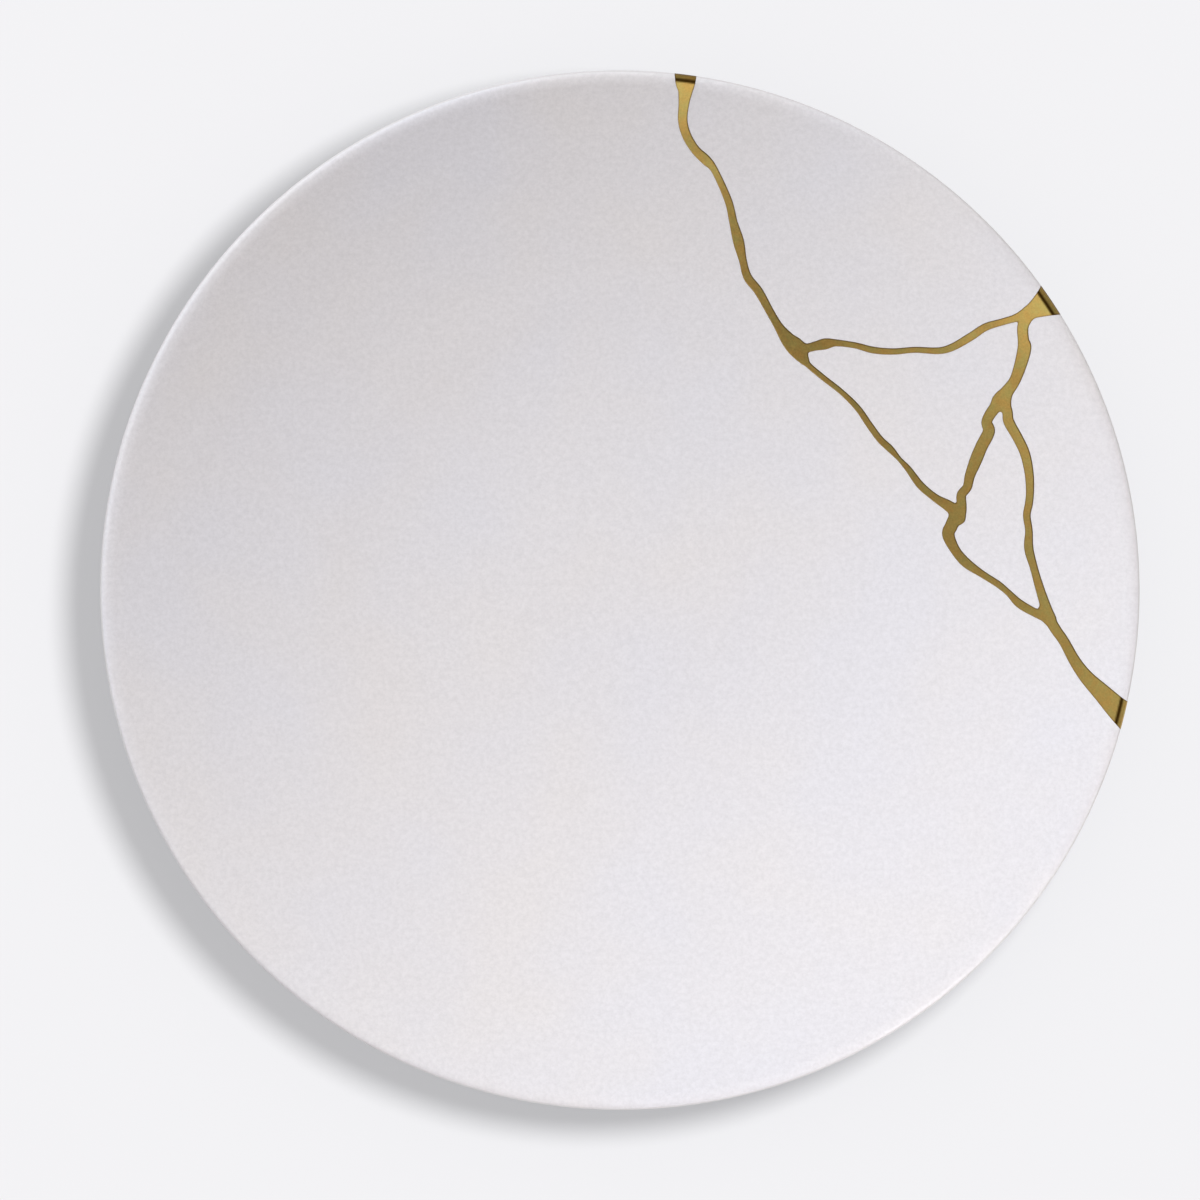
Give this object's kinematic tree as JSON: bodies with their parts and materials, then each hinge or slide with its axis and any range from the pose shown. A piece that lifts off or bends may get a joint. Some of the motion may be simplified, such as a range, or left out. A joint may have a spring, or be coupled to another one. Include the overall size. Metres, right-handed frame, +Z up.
{
  "type": "kintsugi dinner plate",
  "caption": "Round shallow porcelain coupe plate on a foot ring, broken near one side and mended with branching gold seams that run to the rim.",
  "frame": {"origin": "centre of the foot ring's underside, where the plate rests", "axes": "+Z up along the plate's turning axis; seen from above, +Y towards the picture's top edge and +X to its right, with the gold seams on the +X side"},
  "size_m": [0.27, 0.27, 0.0261],
  "materials": {
    "porcelain": "satin white glaze",
    "gold_lacquer": "satin gold dust on lacquer"
  },
  "bodies": {
    "root": {"plate_body": "porcelain", "upper_rim_shard": "porcelain", "inner_shard": "porcelain", "sliver_shard": "porcelain", "right_rim_shard": "porcelain", "gold_seam": "gold_lacquer"}
  },
  "joints": []
}
